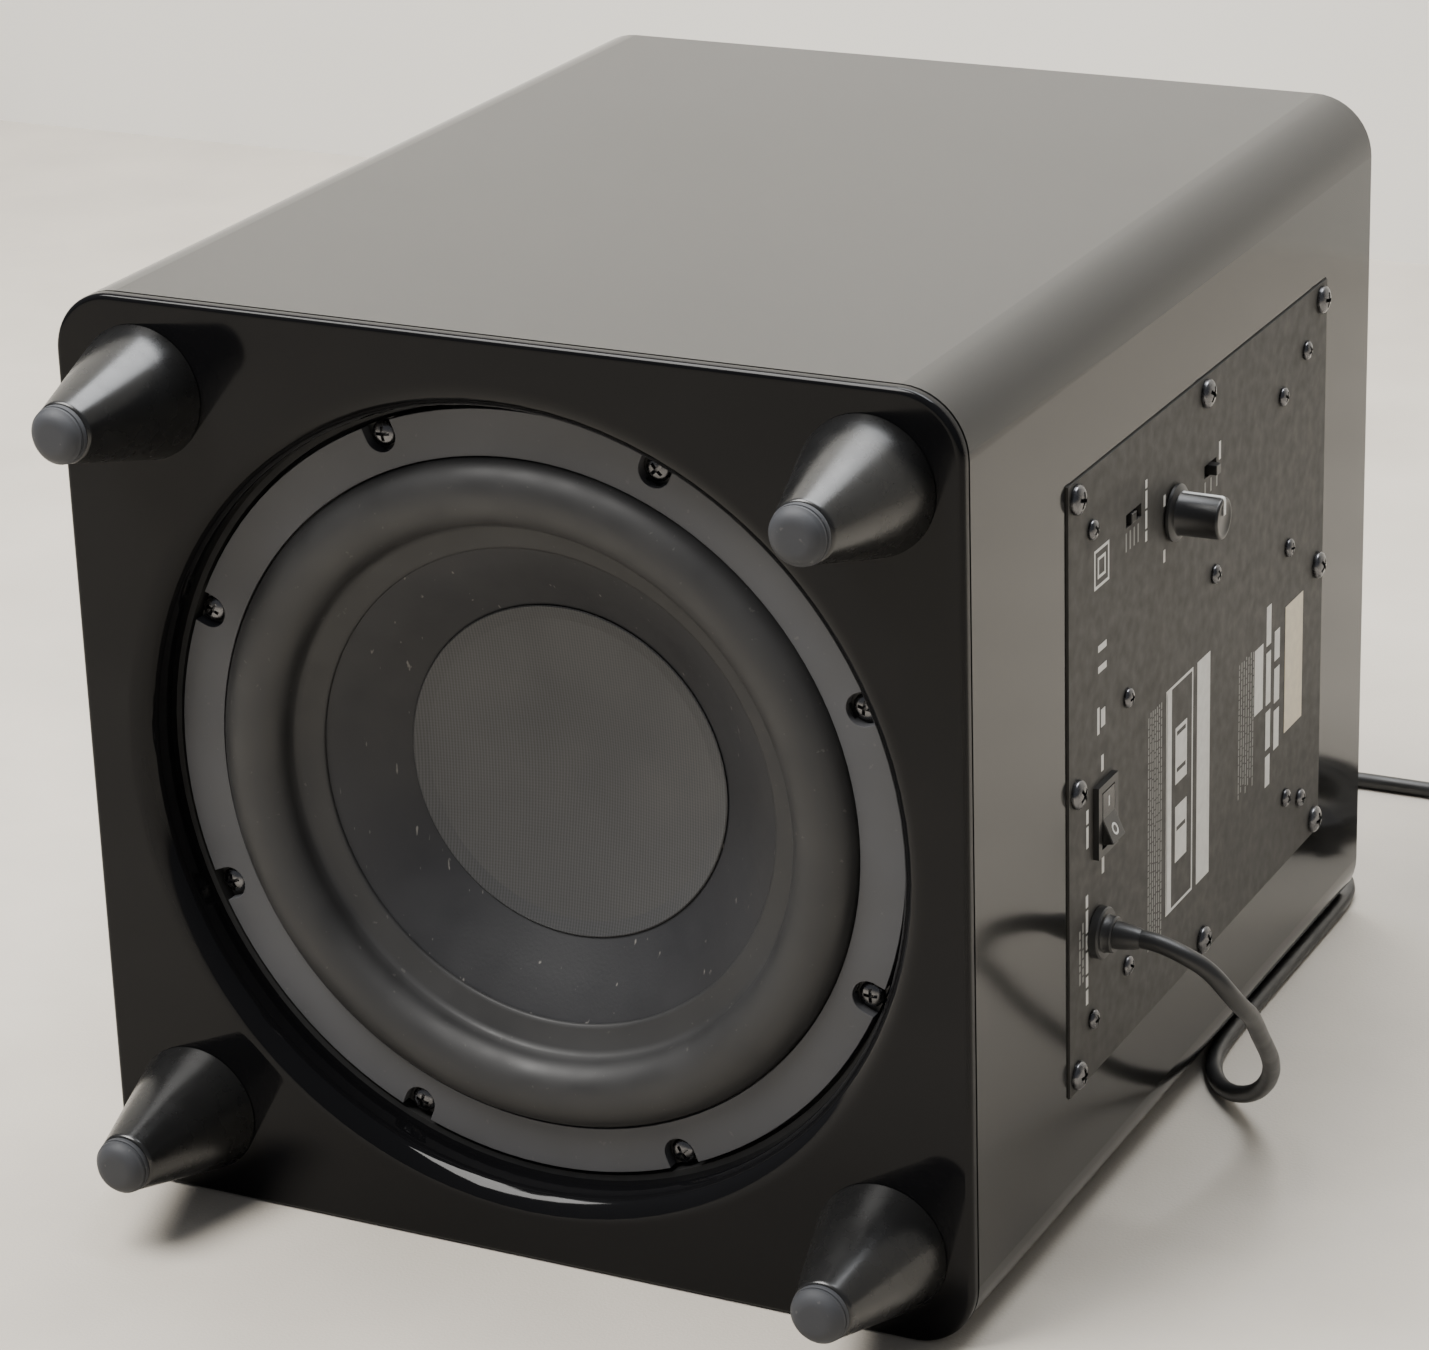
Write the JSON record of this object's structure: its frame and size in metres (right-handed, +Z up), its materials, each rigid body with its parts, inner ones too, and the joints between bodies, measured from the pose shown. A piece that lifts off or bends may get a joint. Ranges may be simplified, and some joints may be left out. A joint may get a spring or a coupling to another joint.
{
  "type": "subwoofer",
  "caption": "Powered sealed subwoofer lying on its side: square-section cabinet with gloss driver panel, dished cone driver, cone feet, amplifier plate with controls and mains lead.",
  "frame": {"origin": "centre of the cabinet's resting side face, on the surface it lies on", "axes": "+Z up; +Y from the gloss driver panel to the far panel, along the cabinet's length; +X out of the amplifier plate's side"},
  "size_m": [0.417, 0.526, 0.31],
  "materials": {
    "cabinet_lacquer": "black lacquer on fibreboard",
    "piano_lacquer": "high gloss black lacquer on fibreboard",
    "fibreboard": "fibreboard painted matt black",
    "foot_lacquer": "satin to gloss black",
    "foot_rubber": "matt dark grey",
    "zinc_steel": "zinc plated",
    "basket_paint": "black powder coat",
    "trim_rubber": "matt dark grey",
    "foam_seal": "closed-cell foam",
    "black_screw": "black plated steel",
    "surround_rubber": "matt black butyl",
    "cone_paper": "coated pulp",
    "cap_weave": "woven fibre, coated",
    "former_film": "polyimide film",
    "copper_wire": "enamelled copper",
    "spider_cloth": "resin-dipped cotton",
    "motor_steel": "blackened mild steel",
    "ferrite": "sintered ferrite",
    "boot_rubber": "matt",
    "terminal_board": "phenolic board with brass tabs",
    "plate_paint": "fine texture matt black powder coat with white ink",
    "box_plastic": "moulded",
    "circuit_board": "glass-epoxy with green resist",
    "capacitor_sleeve": "shrink sleeve",
    "transformer_tape": "yellow tape over a ferrite core",
    "plain_aluminium": "extruded",
    "chip_plastic": "moulded epoxy",
    "knob_plastic": "satin",
    "white_ink": "matt white",
    "switch_plastic": "satin",
    "slider_plastic": "satin",
    "rocker_plastic": "gloss",
    "sticker_paper": "coated label stock, blank",
    "cord_rubber": "matt PVC",
    "tie_fabric": "hook and loop",
    "plug_plastic": "moulded PVC",
    "pin_brass": "nickel plated brass"
  },
  "bodies": {
    "root": {"cabinet_sleeve": "cabinet_lacquer", "top_panel": "cabinet_lacquer", "gloss_panel": "piano_lacquer", "driver_baffle": "fibreboard", "foot_1": "foot_lacquer", "foot_2": "foot_lacquer", "foot_3": "foot_lacquer", "foot_4": "foot_lacquer", "foot_pad_1": "foot_rubber", "foot_pad_2": "foot_rubber", "foot_pad_3": "foot_rubber", "foot_pad_4": "foot_rubber", "foot_bolts": "zinc_steel", "driver_basket": "basket_paint", "driver_trim_ring": "trim_rubber", "driver_seal": "foam_seal", "driver_screws": "black_screw", "surround": "surround_rubber", "spider": "spider_cloth", "top_plate": "motor_steel", "magnet": "ferrite", "pole_yoke": "motor_steel", "magnet_boot": "boot_rubber", "terminal_strip": "terminal_board", "tinsel_leads": "copper_wire", "amp_plate": "plate_paint", "amp_seal": "foam_seal", "amp_screws": "black_screw", "amp_small_screws": "black_screw", "amp_back_box": "box_plastic", "main_board": "circuit_board", "board_standoffs": "zinc_steel", "capacitors": "capacitor_sleeve", "supply_transformer": "transformer_tape", "filter_coils": "copper_wire", "heatsink": "plain_aluminium", "output_devices": "chip_plastic", "control_board": "circuit_board", "pot_body": "zinc_steel", "pot_nut": "zinc_steel", "crossover_switch": "switch_plastic", "mode_switch": "switch_plastic", "power_switch": "switch_plastic", "blank_sticker": "sticker_paper", "cord_bushing": "cord_rubber", "power_cord": "cord_rubber", "cord_coil": "cord_rubber", "cord_tie": "tie_fabric", "power_plug": "plug_plastic", "plug_pins": "pin_brass"},
    "moving_cone": {"cone": "cone_paper", "dust_cap": "cap_weave", "coil_former": "former_film", "voice_coil": "copper_wire"},
    "volume": {"volume_knob": "knob_plastic", "knob_pointer": "white_ink", "pot_shaft": "zinc_steel"},
    "rocker": {"power_rocker": "rocker_plastic"},
    "crossover_slider": {"crossover_slider": "slider_plastic"},
    "mode_slider": {"mode_slider": "slider_plastic"}
  },
  "joints": [
    {"name": "cone_travel", "type": "slide", "parent": "root", "child": "moving_cone", "axis": [0, 1, 0], "range_m": [-0.008, 0.008], "stiffness_N_per_m": 2500, "deforming": ["surround", "spider", "tinsel_leads"]},
    {"name": "volume_turn", "type": "hinge", "parent": "root", "child": "volume", "pos_m": [0.165, -0.0138, 0.2207], "axis": [-1, 0, 0], "range_deg": [-60, 240]},
    {"name": "power_rock", "type": "hinge", "parent": "root", "child": "rocker", "pos_m": [0.1549, -0.075, 0.1394], "axis": [0, 1, 0], "range_deg": [0, 24]},
    {"name": "crossover_slide", "type": "slide", "parent": "root", "child": "crossover_slider", "axis": [0, 1, 0], "range_m": [-0.0026, 0.0052]},
    {"name": "mode_slide", "type": "slide", "parent": "root", "child": "mode_slider", "axis": [0, 1, 0], "range_m": [-0.003, 0.003]}
  ]
}
